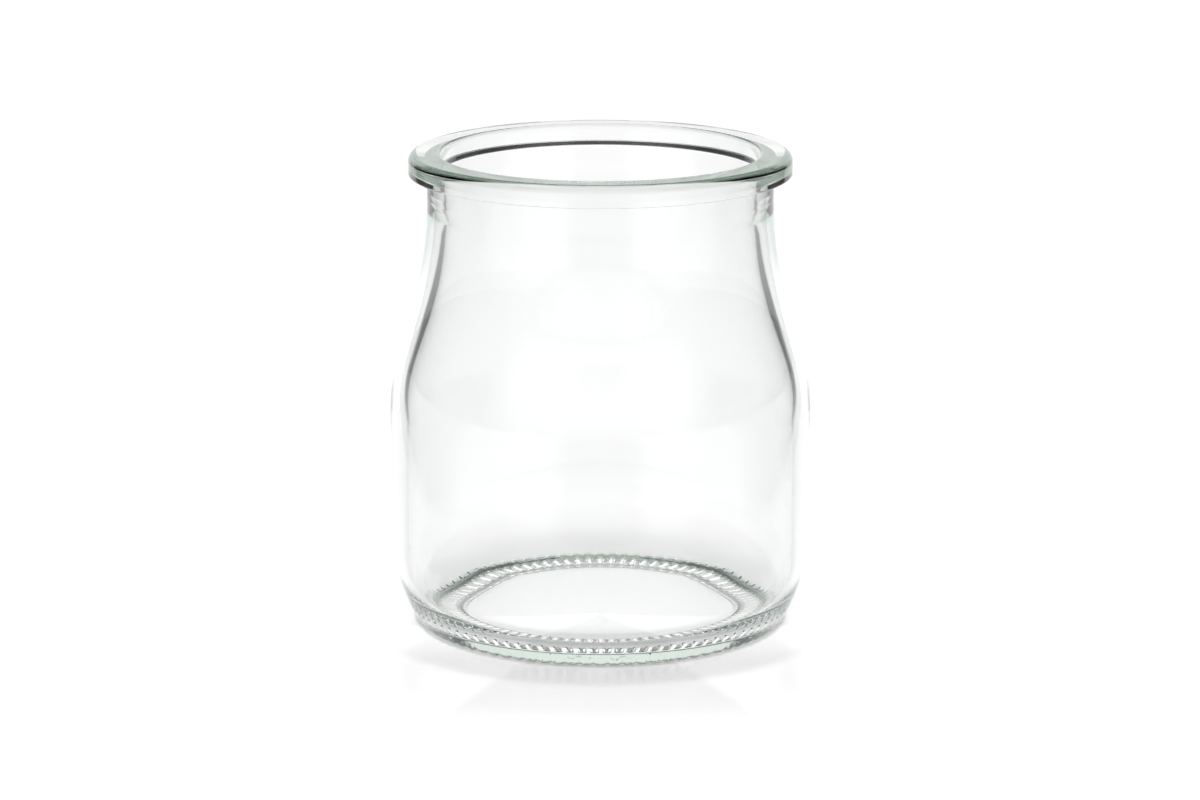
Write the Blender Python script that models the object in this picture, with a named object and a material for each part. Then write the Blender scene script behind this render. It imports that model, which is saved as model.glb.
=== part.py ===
"""An empty yogurt pot of clear pressed glass, without a lid: one turned piece with a knurled base.

Metres, +Z up. The origin is the centre of the base, where the pot stands, and the pot's axis is +Z.
Every outline point is a pair: the distance from the axis, and the height.
"""
import math

import bmesh
import bpy

# Driving dimensions
HEIGHT = 0.0700
BODY_RADIUS = 0.0310
NECK_RADIUS = 0.0253
BEAD_RADIUS = 0.0280
WALL = 0.0025

# Push-up: the shallow dome under the floor, with a steep side
PUSH_UP_RADIUS = 0.0212
PUSH_UP_TOP_RADIUS = 0.0200
PUSH_UP_HEIGHT = 0.0010
PUSH_UP_EDGE_HEIGHT = 0.0008
PUSH_UP_FOOT_HEIGHT = 0.0002

# Knurled ring that the pot stands on: radial bars with a groove beside each
KNURLS = 84
KNURL_DEPTH = 0.00050
KNURL_CORNER_DEPTH = 0.00020
KNURL_START = 0.0217
KNURL_END = 0.0252

# Heel: the small corner at the base, and the large curve that leads up to the body
CORNER_ROUND = 0.0016
HEEL_ROUND = 0.0289
HEEL_TOP = 0.0141

# Shoulder: a long S curve from the body to the neck
SHOULDER_START = 0.0321
SHOULDER_END = 0.0634
SHOULDER_LOWER_PULL = 0.0079
SHOULDER_UPPER_PULL = 0.0151

# Bead: the thick rim round the mouth
BEAD_JUNCTION = 0.06652
BEAD_UNDERSIDE_SLOPE = math.radians(7)
BEAD_LOWER_ROUND = 0.00030
BEAD_UPPER_ROUND = 0.00125
MOUTH_RADIUS = 0.0233
LIP_ROUND = 0.00055

# Inside
INNER_NECK_HEIGHT = 0.0610
INNER_HEEL_PULL = 0.0059
INNER_HEEL_END_PULL = 0.0021
FLOOR_THICKNESS = 0.0020
FLOOR_RISE = 0.0003
FLOOR_RADIUS = 0.0222
FLOOR_CORNER_ROUND = 0.0054
FLOOR_CORNER_TURN = math.radians(52)

# The knurls also set how finely the pot is turned: one side of the round for each bar
PITCH = 2 * math.pi / KNURLS
CREST_SHARE = 1 / 3
SMOOTH_UNDER = math.radians(35)
ON_AXIS = 1e-9


def arc(centre, radius, start, end, steps):
    """Points along a round arc, from one angle to another."""
    angles = [start + (end - start) * step / steps for step in range(steps + 1)]
    return [(centre[0] + radius * math.cos(angle), centre[1] + radius * math.sin(angle)) for angle in angles]


def curve(start, start_pull, end_pull, end, steps):
    """Points along a cubic Bezier curve."""
    points = []
    for step in range(steps + 1):
        t = step / steps
        weights = ((1 - t) ** 3, 3 * t * (1 - t) ** 2, 3 * t * t * (1 - t), t ** 3)
        corners = (start, start_pull, end_pull, end)
        points.append(tuple(sum(w * corner[axis] for w, corner in zip(weights, corners)) for axis in (0, 1)))
    return points


def push_up_outline():
    """The dome under the floor, from its middle out, and its side down to the knurls."""
    rise = PUSH_UP_HEIGHT - PUSH_UP_EDGE_HEIGHT
    dome = (PUSH_UP_TOP_RADIUS ** 2 + rise ** 2) / (2 * rise)
    span = math.asin(PUSH_UP_TOP_RADIUS / dome)
    points = arc((0, PUSH_UP_HEIGHT - dome), dome, math.pi / 2, math.pi / 2 - span, 3)
    top_pull = ((PUSH_UP_TOP_RADIUS + PUSH_UP_RADIUS) / 2, PUSH_UP_EDGE_HEIGHT)
    foot_pull = (PUSH_UP_RADIUS, PUSH_UP_EDGE_HEIGHT / 2)
    side = curve(points[-1], top_pull, foot_pull, (PUSH_UP_RADIUS, PUSH_UP_FOOT_HEIGHT), 3)
    return points + side[1:]


def corner_centre():
    """Centre of the base's small corner, which stands on the ground and meets the heel smoothly."""
    reach = HEEL_ROUND - CORNER_ROUND
    drop = HEEL_TOP - CORNER_ROUND
    return (BODY_RADIUS - HEEL_ROUND + math.sqrt(reach ** 2 - drop ** 2), CORNER_ROUND)


def corner_end():
    """Angle at which the corner turns into the heel."""
    centre = corner_centre()
    return math.atan2(centre[1] - HEEL_TOP, centre[0] - (BODY_RADIUS - HEEL_ROUND))


def knurled_stations():
    """The ring of bars and its corner: outline points, each with the depth of the grooves there."""
    corner = arc(corner_centre(), CORNER_ROUND, -math.pi / 2, corner_end(), 3)
    points = [(KNURL_START, 0), (KNURL_END, 0)] + corner[:-1]
    depths = (KNURL_DEPTH, KNURL_DEPTH, KNURL_CORNER_DEPTH, KNURL_CORNER_DEPTH, KNURL_CORNER_DEPTH / 2)
    return list(zip(points, depths))


def outside_outline():
    """From the top of the base's corner up the outside to the top of the bead."""
    heel = arc((BODY_RADIUS - HEEL_ROUND, HEEL_TOP), HEEL_ROUND, corner_end(), 0, 6)
    start = (BODY_RADIUS, SHOULDER_START)
    start_pull = (BODY_RADIUS, SHOULDER_START + SHOULDER_LOWER_PULL)
    end_pull = (NECK_RADIUS, SHOULDER_END - SHOULDER_UPPER_PULL)
    shoulder = curve(start, start_pull, end_pull, (NECK_RADIUS, SHOULDER_END), 9)
    underside = BEAD_RADIUS - BEAD_LOWER_ROUND - NECK_RADIUS
    lower_height = BEAD_JUNCTION + underside * math.tan(BEAD_UNDERSIDE_SLOPE)
    lower_height += BEAD_LOWER_ROUND / math.cos(BEAD_UNDERSIDE_SLOPE)
    lower = (BEAD_RADIUS - BEAD_LOWER_ROUND, lower_height)
    upper = (BEAD_RADIUS - BEAD_UPPER_ROUND, HEIGHT - BEAD_UPPER_ROUND)
    bead = [(NECK_RADIUS, BEAD_JUNCTION)]
    bead += arc(lower, BEAD_LOWER_ROUND, BEAD_UNDERSIDE_SLOPE - math.pi / 2, 0, 2)
    bead += arc(upper, BEAD_UPPER_ROUND, 0, math.pi / 2, 4)
    return heel + shoulder + bead


def inside_outline():
    """From the top of the lip down the inside to the middle of the floor."""
    lip = arc((MOUTH_RADIUS + LIP_ROUND, HEIGHT - LIP_ROUND), LIP_ROUND, math.pi / 2, math.pi, 3)
    neck = NECK_RADIUS - WALL
    body = BODY_RADIUS - WALL
    start_pull = (neck, INNER_NECK_HEIGHT - SHOULDER_UPPER_PULL)
    end_pull = (body, SHOULDER_START + SHOULDER_LOWER_PULL)
    shoulder = curve((neck, INNER_NECK_HEIGHT), start_pull, end_pull, (body, SHOULDER_START), 8)
    centre = (FLOOR_RADIUS, FLOOR_THICKNESS + FLOOR_CORNER_ROUND)
    corner = arc(centre, FLOOR_CORNER_ROUND, FLOOR_CORNER_TURN - math.pi / 2, -math.pi / 2, 4)
    top_pull = (body, HEEL_TOP - INNER_HEEL_PULL)
    end_pull = (corner[0][0] + INNER_HEEL_END_PULL * math.cos(FLOOR_CORNER_TURN),
                corner[0][1] + INNER_HEEL_END_PULL * math.sin(FLOOR_CORNER_TURN))
    heel = curve((body, HEEL_TOP), top_pull, end_pull, corner[0], 4)
    floor = []
    for reach in (0.7, 0.35, 0):
        rise = FLOOR_RISE * (1 - reach ** 2) ** 2
        floor.append((FLOOR_RADIUS * reach, FLOOR_THICKNESS + rise))
    return lip + shoulder + heel + corner[1:] + floor


def point_at(mesh, turn, radius, height):
    """One vertex, turned by a number of knurl pitches about the axis."""
    angle = turn * PITCH
    return mesh.verts.new((radius * math.cos(angle), radius * math.sin(angle), height))


def plain_ring(mesh, point):
    """A ring with one vertex for each knurl, or a single vertex on the axis."""
    radius, height = point
    if radius < ON_AXIS:
        return [mesh.verts.new((0, 0, height))]
    return [point_at(mesh, knurl, radius, height) for knurl in range(KNURLS)]


def knurled_ring(mesh, point, depth):
    """A ring with three vertices for each knurl: both edges of its crest, and the groove after it."""
    radius, height = point
    ring = []
    for knurl in range(KNURLS):
        ring.append(point_at(mesh, knurl - CREST_SHARE / 2, radius, height))
        ring.append(point_at(mesh, knurl + CREST_SHARE / 2, radius, height))
        ring.append(point_at(mesh, knurl + 1 / 2, radius, height + depth))
    return ring


def join_to_knurled(mesh, plain, knurled):
    """Fill between a plain ring and a knurled one with a fan of four triangles for each knurl."""
    for knurl in range(KNURLS):
        here = plain[knurl]
        after = plain[(knurl + 1) % KNURLS]
        crest_start, crest_end, groove = knurled[3 * knurl:3 * knurl + 3]
        next_crest = knurled[(3 * knurl + 3) % len(knurled)]
        mesh.faces.new((here, crest_start, crest_end))
        mesh.faces.new((here, crest_end, groove))
        mesh.faces.new((here, groove, after))
        mesh.faces.new((after, groove, next_crest))


def join(mesh, one, other):
    """Fill the band between two neighbouring rings."""
    if len(one) == len(other):
        for index in range(len(one)):
            after = (index + 1) % len(one)
            mesh.faces.new((one[index], one[after], other[after], other[index]))
    elif 1 in (len(one), len(other)):
        pole, ring = sorted((one, other), key=len)
        for index in range(len(ring)):
            mesh.faces.new((pole[0], ring[index], ring[(index + 1) % len(ring)]))
    else:
        plain, knurled = sorted((one, other), key=len)
        join_to_knurled(mesh, plain, knurled)


def turned_pot():
    """The whole pot as one closed body, turned about +Z from the middle of the base round to the floor."""
    mesh = bmesh.new()
    rings = [plain_ring(mesh, point) for point in push_up_outline()]
    rings += [knurled_ring(mesh, point, depth) for point, depth in knurled_stations()]
    rings += [plain_ring(mesh, point) for point in outside_outline() + inside_outline()]
    for one, other in zip(rings, rings[1:]):
        join(mesh, one, other)
    bmesh.ops.recalc_face_normals(mesh, faces=mesh.faces)
    data = bpy.data.meshes.new("glass_pot")
    mesh.to_mesh(data)
    mesh.free()
    data.shade_smooth()
    data.set_sharp_from_angle(angle=SMOOTH_UNDER)
    pot = bpy.data.objects.new("glass_pot", data)
    bpy.context.scene.collection.objects.link(pot)
    return pot


def clear_glass():
    """Clear glass with the faint green of its iron."""
    material = bpy.data.materials.new("clear_glass")
    material.use_nodes = True
    shader = material.node_tree.nodes["Principled BSDF"]
    shader.inputs["Base Color"].default_value = (0.90, 0.95, 0.92, 1)
    shader.inputs["Transmission Weight"].default_value = 1
    shader.inputs["IOR"].default_value = 1.52
    shader.inputs["Roughness"].default_value = 0.02
    shader.inputs["Metallic"].default_value = 0
    return material


def main():
    """Clear the scene, then make the pot."""
    for item in list(bpy.data.objects):
        bpy.data.objects.remove(item, do_unlink=True)
    pot = turned_pot()
    pot.data.materials.append(clear_glass())


main()
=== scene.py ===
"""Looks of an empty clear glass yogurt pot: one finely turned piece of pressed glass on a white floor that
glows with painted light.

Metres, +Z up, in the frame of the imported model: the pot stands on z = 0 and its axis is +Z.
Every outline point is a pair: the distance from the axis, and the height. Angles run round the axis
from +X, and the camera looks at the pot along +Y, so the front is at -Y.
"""
import math

import bmesh
import bpy
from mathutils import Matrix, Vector


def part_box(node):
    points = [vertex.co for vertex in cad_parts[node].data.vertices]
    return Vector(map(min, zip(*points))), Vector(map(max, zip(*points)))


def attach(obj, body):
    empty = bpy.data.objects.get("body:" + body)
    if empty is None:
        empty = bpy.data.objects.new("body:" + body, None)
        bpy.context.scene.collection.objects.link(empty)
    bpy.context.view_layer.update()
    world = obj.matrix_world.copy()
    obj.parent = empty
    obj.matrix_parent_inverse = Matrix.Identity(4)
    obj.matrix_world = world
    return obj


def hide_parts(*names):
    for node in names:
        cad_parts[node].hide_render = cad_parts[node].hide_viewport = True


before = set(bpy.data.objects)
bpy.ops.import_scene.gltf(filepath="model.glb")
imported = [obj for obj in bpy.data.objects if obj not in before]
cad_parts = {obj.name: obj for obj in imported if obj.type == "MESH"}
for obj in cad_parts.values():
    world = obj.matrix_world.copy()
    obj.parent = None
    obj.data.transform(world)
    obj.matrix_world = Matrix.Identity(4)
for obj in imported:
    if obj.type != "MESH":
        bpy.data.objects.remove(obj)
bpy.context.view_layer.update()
POT_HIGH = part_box("glass_pot")[1]

# Driving sizes
HEIGHT = POT_HIGH.z
BODY_RADIUS = POT_HIGH.x
NECK_RADIUS = 0.0253
BEAD_RADIUS = 0.0280
WALL = 0.00253

# Push-up: the shallow dome under the floor, with a sloping side
PUSH_UP_RADIUS = 0.0212
PUSH_UP_TOP_RADIUS = 0.0194
PUSH_UP_HEIGHT = 0.0010
PUSH_UP_EDGE_HEIGHT = 0.0009
PUSH_UP_FOOT_HEIGHT = 0.0002

# Knurled ring that the pot stands on: radial bars, with grooves that deepen outward and end at a smooth ring
KNURLS = 84
KNURL_INNER_DEPTH = 0.00020
KNURL_DEPTH = 0.00095
KNURL_DEEPEST = 0.0238
KNURL_CORNER_DEPTH = 0.00018
KNURL_FADE = 0.0003
KNURL_END_FADE = 0.0011
KNURL_END = 0.0254
SMOOTH_RING_HEIGHT = 0.00008
SMOOTH_RING_END = 0.0266
CREST_SHARE = 1 / 3
KNURL_TOP = 0.0013
BEARING_RADIUS = 0.0218

# Heel: the small corner at the base, and the large curve that leads up to the body
CORNER_ROUND = 0.0016
HEEL_ROUND = 0.0289
HEEL_TOP = 0.0141

# Shoulder: a long S curve from the body to the neck
SHOULDER_START = 0.0321
SHOULDER_END = 0.0634
SHOULDER_LOWER_PULL = 0.0079
SHOULDER_UPPER_PULL = 0.0151

# Parting line: the finish ring of the mould stands out by a hair above the neck
PARTING_STEP = 0.00002
PARTING_HEIGHT = 0.0002

# Bead: the thick rim round the mouth
BEAD_JUNCTION = 0.06652
BEAD_JUNCTION_ROUND = 0.00025
BEAD_UNDERSIDE_SLOPE = math.radians(7)
BEAD_LOWER_ROUND = 0.00025
BEAD_UPPER_ROUND = 0.00125
MOUTH_RADIUS = 0.0233
LIP_ROUND = 0.00055

# Inside
INNER_NECK_HEIGHT = 0.0610
INNER_HEEL_PULL = 0.0059
INNER_HEEL_END_PULL = 0.0021
FLOOR_THICKNESS = 0.0020
FLOOR_RISE = 0.0003
FLOOR_RADIUS = 0.0222
FLOOR_CORNER_ROUND = 0.0054
FLOOR_CORNER_TURN = math.radians(52)

# Steps along each stretch of the outline
DOME_STEPS = 16
PUSH_UP_SIDE_STEPS = 10
FOOT_STEPS = 3
RING_STEPS = 15
CORNER_STEPS = 8
HEEL_STEPS = 12
BODY_STEPS = 4
SHOULDER_STEPS = 28
BEAD_SMALL_ROUND_STEPS = 6
BEAD_TOP_STEPS = 16
LIP_STEPS = 10
THROAT_STEPS = 4
INNER_WALL_STEPS = 6
INNER_HEEL_STEPS = 16
FLOOR_CORNER_STEPS = 16
FLOOR_STEPS = 16

# How finely the glass is turned
PITCH = 2 * math.pi / KNURLS
COARSE_SIDES = 4 * KNURLS
FINE_SIDES = 12 * KNURLS
SMOOTH_UNDER = math.radians(35)
EDGE_HOLD = 0.00003
ON_AXIS = 1e-9

# Clear container glass: it absorbs a little red and blue, so thick places look faintly green
GLASS_IOR = 1.52
GLASS_TINT = (0.62, 0.78, 0.68, 1)
GLASS_DENSITY = 14
GLASS_BOUNCES = 72
GLOSSY_BOUNCES = 24

# Camera, fitted to the ellipses of the rim, the neck and the base
CAMERA_DISTANCE = 0.560
CAMERA_HEIGHT = 0.17076
CAMERA_PITCH = math.radians(13.854)
CAMERA_SIDE = -0.00006
FOCAL_PIXELS = 3900.5
IMAGE_WIDTH = 1200
SENSOR_WIDTH = 36
CLIP_START = 0.01

# Floor: it glows with painted light, brightest in the sweep, the stretch that the camera sees. The sweep
# starts a little in front of the pot, and the sweep's glow table pairs each distance behind the pot's axis
# with how strongly its painted light glows there.
FLOOR_SIZE = 6.0
FLOOR_WHITE = 0.80
FLOOR_ROUGHNESS = 0.22
PAINTED_SWEEP_GLOW = ((-0.09, 0.71), (0.0, 0.65), (0.13, 0.60), (0.33, 0.55), (0.60, 0.52))
SWEEP_HALF_WIDTH = 0.092
SWEEP_SPREAD = 0.150
FAN_HALF_WIDTH = 0.052
FAN_SPREAD = 0.65
SWEEP_FRONT = -0.090
SWEEP_EDGE = 0.012

# Painted pools of light on the floor round the pot: each direction, in degrees from the front on either
# side, with its glow
PAINTED_POOL_GLOW = ((0, 0.25), (16, 0.25), (26, 0.8), (72, 0.8), (84, 0.30), (122, 0.30), (134, 0.05), (180, 0.05))

# Contact shade, a painted shadow under the pot and a painted halo of shade in front of it: each distance
# from the axis, with the share of the glow that is lost there. The halo lies in
# front of the pot alone: it is full ahead of HALO_FULL and gone behind HALO_EDGE.
PAINTED_UNDER_SHADE = ((0, 0), (0.0200, 0), (0.0225, 0.30), (0.0255, 0.35),
               (0.0262, 0.55), (0.0272, 0.55), (0.0282, 0))
PAINTED_HALO_SHADE = ((0, 0), (0.0272, 0), (0.0282, 0.38), (0.0340, 0.38),
              (0.0375, 0.18), (0.0440, 0.14), (0.0540, 0))
CONTACT_SPAN = 0.060
HALO_FULL = -0.026
HALO_EDGE = -0.008

# Sky: SKY pairs each height above the horizon, in degrees, with how bright the surroundings behind the pot
# are. At the sides they are dimmed to SKY_SIDES of that, and a soft bright patch lies behind the camera.
SKY = ((-90, 1.0), (20, 1.0), (27, 0.02), (90, 0.02))
SKY_BRIGHTNESS = 1.0
SKY_FRONT = 0.8
SKY_FRONT_FULL = -0.75
SKY_FRONT_EDGE = -0.30
SKY_SIDES = 0.1
SKY_HALF_WIDTH = 0.50
SKY_EDGE = 0.62

# Overhead light: one large softbox
OVERHEAD_PLACE = (0, 0, 0.9)
OVERHEAD_SIZE = (0.9, 0.9)
OVERHEAD_POWER = 1.6


def arc(centre, radius, start, end, steps):
    """Points along a round arc, from one angle to another."""
    angles = [start + (end - start) * step / steps for step in range(steps + 1)]
    return [(centre[0] + radius * math.cos(angle), centre[1] + radius * math.sin(angle)) for angle in angles]


def curve(start, start_pull, end_pull, end, steps):
    """Points along a cubic Bezier curve."""
    points = []
    for step in range(steps + 1):
        t = step / steps
        weights = ((1 - t) ** 3, 3 * t * (1 - t) ** 2, 3 * t * t * (1 - t), t ** 3)
        corners = (start, start_pull, end_pull, end)
        point = (sum(w * corner[axis] for w, corner in zip(weights, corners)) for axis in (0, 1))
        points.append(tuple(point))
    return points


def line(start, end, steps):
    """Points along a straight line."""
    return [tuple(a + (b - a) * step / steps for a, b in zip(start, end)) for step in range(steps + 1)]


def held(start, end, steps=1):
    """Points along a straight stretch, with one close to each end to keep its shading straight."""
    hold = EDGE_HOLD / math.dist(start, end)
    shares = [0, hold] + [step / steps for step in range(1, steps)] + [1 - hold, 1]
    return [tuple(a + (b - a) * share for a, b in zip(start, end)) for share in shares]


def ramp(value, start, end):
    """0 before start, 1 after end, and a smooth rise between them."""
    share = min(1, max(0, (value - start) / (end - start)))
    return share * share * (3 - 2 * share)


def push_up_outline():
    """The dome under the floor, from its middle out, and its side down to its foot."""
    rise = PUSH_UP_HEIGHT - PUSH_UP_EDGE_HEIGHT
    dome = (PUSH_UP_TOP_RADIUS ** 2 + rise ** 2) / (2 * rise)
    span = math.asin(PUSH_UP_TOP_RADIUS / dome)
    points = arc((0, PUSH_UP_HEIGHT - dome), dome, math.pi / 2, math.pi / 2 - span, DOME_STEPS)
    top_pull = ((PUSH_UP_TOP_RADIUS + PUSH_UP_RADIUS) / 2, PUSH_UP_EDGE_HEIGHT)
    foot_pull = (PUSH_UP_RADIUS, PUSH_UP_EDGE_HEIGHT / 2)
    foot = (PUSH_UP_RADIUS, PUSH_UP_FOOT_HEIGHT)
    side = curve(points[-1], top_pull, foot_pull, foot, PUSH_UP_SIDE_STEPS)
    return points + side[1:]


def corner_centre():
    """Centre of the base's small corner, which stands on the ground and meets the heel smoothly."""
    reach = HEEL_ROUND - CORNER_ROUND
    drop = HEEL_TOP - CORNER_ROUND
    return (BODY_RADIUS - HEEL_ROUND + math.sqrt(reach ** 2 - drop ** 2), CORNER_ROUND)


def corner_end():
    """Angle at which the corner turns into the heel."""
    centre = corner_centre()
    return math.atan2(centre[1] - HEEL_TOP, centre[0] - (BODY_RADIUS - HEEL_ROUND))


def base_outline():
    """The push-up's foot, the bearing ring and the base's corner: the stretch that the knurls cut."""
    centre = corner_centre()
    start = line((PUSH_UP_RADIUS, PUSH_UP_FOOT_HEIGHT), (BEARING_RADIUS, 0), FOOT_STEPS)
    ring = line((BEARING_RADIUS, 0), (centre[0], 0), RING_STEPS)
    corner = arc(centre, CORNER_ROUND, -math.pi / 2, corner_end(), CORNER_STEPS)
    return start + ring[1:] + corner[1:]


def outside_outline():
    """From the top of the base's corner up the outside to the top of the bead."""
    heel = arc((BODY_RADIUS - HEEL_ROUND, HEEL_TOP), HEEL_ROUND, corner_end(), 0, HEEL_STEPS)
    body = line((BODY_RADIUS, HEEL_TOP), (BODY_RADIUS, SHOULDER_START), BODY_STEPS)
    start_pull = (BODY_RADIUS, SHOULDER_START + SHOULDER_LOWER_PULL)
    end_pull = (NECK_RADIUS, SHOULDER_END - SHOULDER_UPPER_PULL)
    shoulder = curve(body[-1], start_pull, end_pull, (NECK_RADIUS, SHOULDER_END), SHOULDER_STEPS)
    return heel[1:] + body[1:] + shoulder[1:] + bead_outline()


def bead_outline():
    """The finish ring above the parting line, and the bead: its sloping underside, its side and its top."""
    slope = BEAD_UNDERSIDE_SLOPE
    ring_radius = NECK_RADIUS + PARTING_STEP
    inner_x = ring_radius + BEAD_JUNCTION_ROUND
    inner_z = BEAD_JUNCTION + BEAD_JUNCTION_ROUND * (math.tan(slope) - 1 / math.cos(slope))
    junction = arc((inner_x, inner_z), BEAD_JUNCTION_ROUND, math.pi, math.pi / 2 + slope,
                   BEAD_SMALL_ROUND_STEPS)
    lower_x = BEAD_RADIUS - BEAD_LOWER_ROUND
    climb = (lower_x - ring_radius) * math.tan(slope)
    lower_z = BEAD_JUNCTION + climb + BEAD_LOWER_ROUND / math.cos(slope)
    lower = arc((lower_x, lower_z), BEAD_LOWER_ROUND, slope - math.pi / 2, 0, BEAD_SMALL_ROUND_STEPS)
    upper_corner = (BEAD_RADIUS - BEAD_UPPER_ROUND, HEIGHT - BEAD_UPPER_ROUND)
    upper = arc(upper_corner, BEAD_UPPER_ROUND, 0, math.pi / 2, BEAD_TOP_STEPS)
    ring = held((ring_radius, SHOULDER_END + PARTING_HEIGHT), junction[0])
    underside = held(junction[-1], lower[0])
    side = held(lower[-1], upper[0])
    top = held(upper[-1], (MOUTH_RADIUS + LIP_ROUND, HEIGHT))
    return ring[:-1] + junction[:-1] + underside[:-1] + lower[:-1] + side[:-1] + upper[:-1] + top[:-1]


def inside_outline():
    """From the top of the lip down the inside to the middle of the floor."""
    lip_centre = (MOUTH_RADIUS + LIP_ROUND, HEIGHT - LIP_ROUND)
    lip = arc(lip_centre, LIP_ROUND, math.pi / 2, math.pi, LIP_STEPS)
    neck = NECK_RADIUS - WALL
    body = BODY_RADIUS - WALL
    throat = held(lip[-1], (neck, INNER_NECK_HEIGHT), THROAT_STEPS)
    shoulder_top = (neck, INNER_NECK_HEIGHT)
    shoulder_top_pull = (neck, INNER_NECK_HEIGHT - SHOULDER_UPPER_PULL)
    shoulder_end_pull = (body, SHOULDER_START + SHOULDER_LOWER_PULL)
    shoulder_end = (body, SHOULDER_START)
    shoulder = curve(shoulder_top, shoulder_top_pull, shoulder_end_pull, shoulder_end, SHOULDER_STEPS)
    wall = line(shoulder_end, (body, HEEL_TOP), INNER_WALL_STEPS)
    centre = (FLOOR_RADIUS, FLOOR_THICKNESS + FLOOR_CORNER_ROUND)
    corner_start = FLOOR_CORNER_TURN - math.pi / 2
    corner = arc(centre, FLOOR_CORNER_ROUND, corner_start, -math.pi / 2, FLOOR_CORNER_STEPS)
    heel_pull = (body, HEEL_TOP - INNER_HEEL_PULL)
    heel_end_pull = (corner[0][0] + INNER_HEEL_END_PULL * math.cos(FLOOR_CORNER_TURN),
                     corner[0][1] + INNER_HEEL_END_PULL * math.sin(FLOOR_CORNER_TURN))
    heel = curve(wall[-1], heel_pull, heel_end_pull, corner[0], INNER_HEEL_STEPS)
    floor = []
    for step in range(1, FLOOR_STEPS + 1):
        reach = 1 - step / FLOOR_STEPS
        floor.append((FLOOR_RADIUS * reach, FLOOR_THICKNESS + FLOOR_RISE * (1 - reach ** 2) ** 2))
    return lip + throat[1:] + shoulder[1:] + wall[1:] + heel[1:] + corner[1:] + floor


def knurled(angle, radius, height):
    """A point of the base, lifted in a groove between two bars, and by a hair all round the smooth ring."""
    place = abs(angle / PITCH - round(angle / PITCH)) * 2
    groove = ramp(place, CREST_SHARE, 1)
    inner = ramp(radius, PUSH_UP_RADIUS, PUSH_UP_RADIUS + KNURL_FADE)
    outer = ramp(radius, KNURL_END - KNURL_END_FADE, KNURL_END)
    depth = KNURL_INNER_DEPTH
    depth += (KNURL_DEPTH - KNURL_INNER_DEPTH) * ramp(radius, PUSH_UP_RADIUS, KNURL_DEEPEST)
    depth += (KNURL_CORNER_DEPTH - KNURL_DEPTH) * outer
    smooth = outer * (1 - ramp(radius, SMOOTH_RING_END, SMOOTH_RING_END + KNURL_FADE))
    depth *= (1 - smooth) * inner * (1 - ramp(height, 0, KNURL_TOP))
    return radius, height + depth * groove + SMOOTH_RING_HEIGHT * smooth


def plain(angle, radius, height):
    """A point of a smooth stretch, left where it is."""
    return radius, height


def turned_ring(mesh, point, sides, shape):
    """A ring of vertices round the axis, or a single vertex on it."""
    if point[0] < ON_AXIS:
        return [mesh.verts.new((0, 0, point[1]))]
    ring = []
    for side in range(sides):
        angle = 2 * math.pi * side / sides
        radius, height = shape(angle, *point)
        ring.append(mesh.verts.new((radius * math.cos(angle), radius * math.sin(angle), height)))
    return ring


def join(mesh, one, other):
    """Fill the band between two rings, of which one may have several times the other's vertices."""
    few, many = sorted((one, other), key=len)
    if len(few) == 1:
        for index in range(len(many)):
            mesh.faces.new((few[0], many[index], many[(index + 1) % len(many)]))
        return
    ratio = len(many) // len(few)
    for index, here in enumerate(few):
        after = few[(index + 1) % len(few)]
        if ratio == 1:
            mesh.faces.new((here, after, many[(index + 1) % len(many)], many[index]))
            continue
        fan = [many[(index * ratio + step) % len(many)] for step in range(ratio + 1)]
        middle = ratio // 2
        for step in range(ratio):
            mesh.faces.new((here if step < middle else after, fan[step], fan[step + 1]))
        mesh.faces.new((here, fan[middle], after))


def turned_glass():
    """The whole pot as one closed mesh, from the middle of the base round to the floor."""
    mesh = bmesh.new()
    stretches = ((push_up_outline()[:-1], COARSE_SIDES, plain),
                 (base_outline(), FINE_SIDES, knurled),
                 (outside_outline() + inside_outline(), COARSE_SIDES, plain))
    rings = []
    for outline, sides, shape in stretches:
        rings += [turned_ring(mesh, point, sides, shape) for point in outline]
    for one, other in zip(rings, rings[1:]):
        join(mesh, one, other)
    bmesh.ops.recalc_face_normals(mesh, faces=mesh.faces)
    data = bpy.data.meshes.new("clear_glass_pot")
    mesh.to_mesh(data)
    mesh.free()
    data.shade_smooth()
    data.set_sharp_from_angle(angle=SMOOTH_UNDER)
    return linked("clear_glass_pot", data)


def linked(name, data):
    """An object in the scene for some mesh, light or camera data."""
    item = bpy.data.objects.new(name, data)
    bpy.context.scene.collection.objects.link(item)
    return item


def glass_material():
    """Clear container glass: polished, with a faint green that shows where the glass is thick."""
    material = bpy.data.materials.new("container_glass")
    material.use_nodes = True
    nodes = material.node_tree.nodes
    links = material.node_tree.links
    shader = nodes["Principled BSDF"]
    shader.inputs["Base Color"].default_value = (1, 1, 1, 1)
    shader.inputs["Transmission Weight"].default_value = 1
    shader.inputs["IOR"].default_value = GLASS_IOR
    shader.inputs["Roughness"].default_value = 0
    shader.inputs["Metallic"].default_value = 0
    tint = nodes.new("ShaderNodeVolumeAbsorption")
    tint.inputs["Color"].default_value = GLASS_TINT
    tint.inputs["Density"].default_value = GLASS_DENSITY
    links.new(tint.outputs["Volume"], nodes["Material Output"].inputs["Volume"])
    return material


def calculate(tree, operation, *values):
    """The output of a Math node for some sockets or numbers."""
    node = tree.nodes.new("ShaderNodeMath")
    node.operation = operation
    for socket, value in zip(node.inputs, values):
        if isinstance(value, bpy.types.NodeSocket):
            tree.links.new(value, socket)
        else:
            socket.default_value = value
    return node.outputs[0]


def graded(tree, value, start, end, low, high):
    """A smooth change from one level to another as a value goes from start to end."""
    node = tree.nodes.new("ShaderNodeMapRange")
    node.interpolation_type = "SMOOTHSTEP"
    for name, number in (("From Min", start), ("From Max", end), ("To Min", low), ("To Max", high)):
        node.inputs[name].default_value = number
    tree.links.new(value, node.inputs["Value"])
    return node.outputs["Result"]


def unit_range(tree, value):
    """A value from -1 to 1, brought to 0 to 1 for graded_steps."""
    return calculate(tree, "MULTIPLY_ADD", value, 0.5, 0.5)


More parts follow.
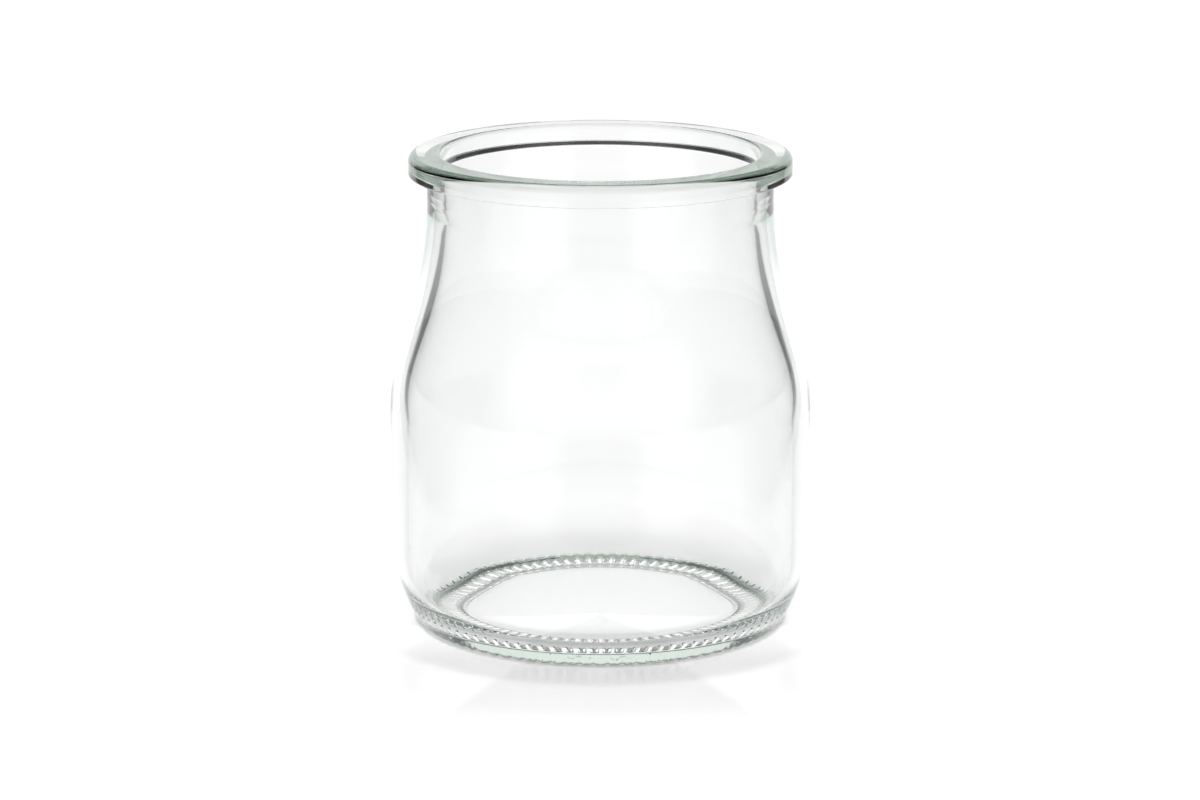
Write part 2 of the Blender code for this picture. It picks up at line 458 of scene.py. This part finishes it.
def graded_steps(tree, value, stops):
    """A smooth grey level along several stops, each a position from 0 to 1 and a level."""
    node = tree.nodes.new("ShaderNodeValToRGB")
    node.color_ramp.interpolation = "EASE"
    elements = node.color_ramp.elements
    while len(elements) < len(stops):
        elements.new(0.5)
    for element, (position, level) in zip(elements, stops):
        element.position = position
        element.color = (level, level, level, 1)
    tree.links.new(value, node.inputs["Fac"])
    return node.outputs["Color"]


def painted_sweep_glow(tree, side, back):
    """The painted glow of the bright stretch of floor, which widens away from the camera."""
    near = calculate(tree, "MULTIPLY_ADD", back, SWEEP_SPREAD, SWEEP_HALF_WIDTH)
    fan = calculate(tree, "MULTIPLY_ADD", back, FAN_SPREAD, FAN_HALF_WIDTH)
    past_edge = calculate(tree, "SUBTRACT", side, calculate(tree, "MAXIMUM", near, fan))
    inside = graded(tree, past_edge, 0, SWEEP_EDGE, 1, 0)
    behind_front = graded(tree, back, SWEEP_FRONT - SWEEP_EDGE, SWEEP_FRONT, 0, 1)
    sweep = calculate(tree, "MULTIPLY", inside, behind_front)
    stops = [(0.5 + 0.5 * distance, level) for distance, level in PAINTED_SWEEP_GLOW]
    glow = graded_steps(tree, unit_range(tree, back), stops)
    return calculate(tree, "MULTIPLY", sweep, glow)


def painted_pool_glow(tree, side, back):
    """The painted pools of light round the pot by direction, the same on its left and right."""
    front = calculate(tree, "MULTIPLY", back, -1)
    turn = calculate(tree, "DIVIDE", calculate(tree, "ARCTAN2", side, front), math.pi)
    return graded_steps(tree, turn, [(degrees / 180, level) for degrees, level in PAINTED_POOL_GLOW])


def painted_contact_shade(tree, side, back):
    """The painted shadow: the share of its glow that the floor loses under the pot and close in front of it.
    """
    across = calculate(tree, "MULTIPLY", side, side)
    along = calculate(tree, "MULTIPLY", back, back)
    distance = calculate(tree, "SQRT", calculate(tree, "ADD", across, along))
    reach = calculate(tree, "DIVIDE", distance, CONTACT_SPAN)
    under = graded_steps(tree, reach, [(radius / CONTACT_SPAN, share) for radius, share in PAINTED_UNDER_SHADE])
    halo = graded_steps(tree, reach, [(radius / CONTACT_SPAN, share) for radius, share in PAINTED_HALO_SHADE])
    ahead = graded(tree, back, HALO_FULL, HALO_EDGE, 1, 0)
    return calculate(tree, "ADD", under, calculate(tree, "MULTIPLY", halo, ahead))


def floor_material():
    """White, slightly glossy acrylic with painted light: it glows in the sweep and the pools, and less in
    the painted contact shadow.
    """
    material = bpy.data.materials.new("acrylic_with_painted_glow")
    material.use_nodes = True
    tree = material.node_tree
    shader = tree.nodes["Principled BSDF"]
    shader.inputs["Base Color"].default_value = (FLOOR_WHITE, FLOOR_WHITE, FLOOR_WHITE, 1)
    shader.inputs["Roughness"].default_value = FLOOR_ROUGHNESS
    shader.inputs["Emission Color"].default_value = (1, 1, 1, 1)
    place = tree.nodes.new("ShaderNodeNewGeometry").outputs["Position"]
    parts = tree.nodes.new("ShaderNodeSeparateXYZ")
    tree.links.new(place, parts.inputs[0])
    side = calculate(tree, "ABSOLUTE", parts.outputs["X"])
    back = parts.outputs["Y"]
    # Painted light: the floor glows in the painted sweep and pools, dimmed by the painted contact shadow.
    white = calculate(tree, "MAXIMUM", painted_sweep_glow(tree, side, back), painted_pool_glow(tree, side, back))
    unshaded = calculate(tree, "SUBTRACT", 1, painted_contact_shade(tree, side, back))
    strength = calculate(tree, "MULTIPLY", white, unshaded)
    tree.links.new(strength, shader.inputs["Emission Strength"])
    return material


def add_floor():
    """The large flat floor that the pot stands on, which also fills the view behind it."""
    mesh = bmesh.new()
    bmesh.ops.create_grid(mesh, x_segments=1, y_segments=1, size=FLOOR_SIZE / 2)
    data = bpy.data.meshes.new("floor")
    mesh.to_mesh(data)
    mesh.free()
    data.materials.append(floor_material())
    floor = linked("floor", data)


def add_world():
    """Surroundings: white behind the pot, dim above and beside that, and bright behind the camera."""
    world = bpy.data.worlds.new("studio")
    bpy.context.scene.world = world
    world.use_nodes = True
    tree = world.node_tree
    direction = tree.nodes.new("ShaderNodeTexCoord")
    parts = tree.nodes.new("ShaderNodeSeparateXYZ")
    tree.links.new(direction.outputs["Generated"], parts.inputs[0])
    height = unit_range(tree, parts.outputs["Z"])
    stops = [(0.5 + 0.5 * math.sin(math.radians(degrees)), level) for degrees, level in SKY]
    backdrop = graded_steps(tree, height, stops)
    side = calculate(tree, "ABSOLUTE", parts.outputs["X"])
    inside = graded(tree, side, SKY_HALF_WIDTH, SKY_EDGE, 1, 0)
    behind = calculate(tree, "MULTIPLY", inside, calculate(tree, "GREATER_THAN", parts.outputs["Y"], 0))
    strength = calculate(tree, "MULTIPLY", graded(tree, behind, 0, 1, SKY_SIDES, SKY_BRIGHTNESS), backdrop)
    front = graded(tree, parts.outputs["Y"], SKY_FRONT_FULL, SKY_FRONT_EDGE, SKY_FRONT, 0)
    background = tree.nodes["Background"]
    background.inputs["Color"].default_value = (1, 1, 1, 1)
    tree.links.new(calculate(tree, "MAXIMUM", strength, front), background.inputs["Strength"])


def add_softbox(name, place, size, power):
    """A soft rectangular light that faces the pot."""
    light = bpy.data.lights.new(name, "AREA")
    light.shape = "RECTANGLE"
    light.size, light.size_y = size
    light.energy = power
    lamp = linked(name, light)
    lamp.location = place
    target = Vector((0, 0, HEIGHT / 2))
    lamp.rotation_euler = (target - lamp.location).to_track_quat("-Z", "Y").to_euler()


def add_camera():
    """The camera at the photograph's viewing angle."""
    data = bpy.data.cameras.new("camera")
    data.sensor_width = SENSOR_WIDTH
    data.lens = FOCAL_PIXELS * SENSOR_WIDTH / IMAGE_WIDTH
    data.clip_start = CLIP_START
    camera = linked("camera", data)
    camera.location = (CAMERA_SIDE, -CAMERA_DISTANCE, CAMERA_HEIGHT)
    camera.rotation_euler = (math.pi / 2 - CAMERA_PITCH, 0, 0)
    bpy.context.scene.camera = camera


def main():
    """Make the camera, the light, the floor and the glass, and hand the glass to the frame."""
    scene = bpy.context.scene
    scene.view_settings.view_transform = "Standard"
    scene.cycles.max_bounces = GLASS_BOUNCES
    scene.cycles.transmission_bounces = GLASS_BOUNCES
    scene.cycles.glossy_bounces = GLOSSY_BOUNCES
    add_camera()
    add_world()
    add_softbox("overhead", OVERHEAD_PLACE, OVERHEAD_SIZE, OVERHEAD_POWER)
    add_floor()
    glass = turned_glass()
    glass.data.materials.append(glass_material())
    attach(glass, "root")
    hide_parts("glass_pot")


main()
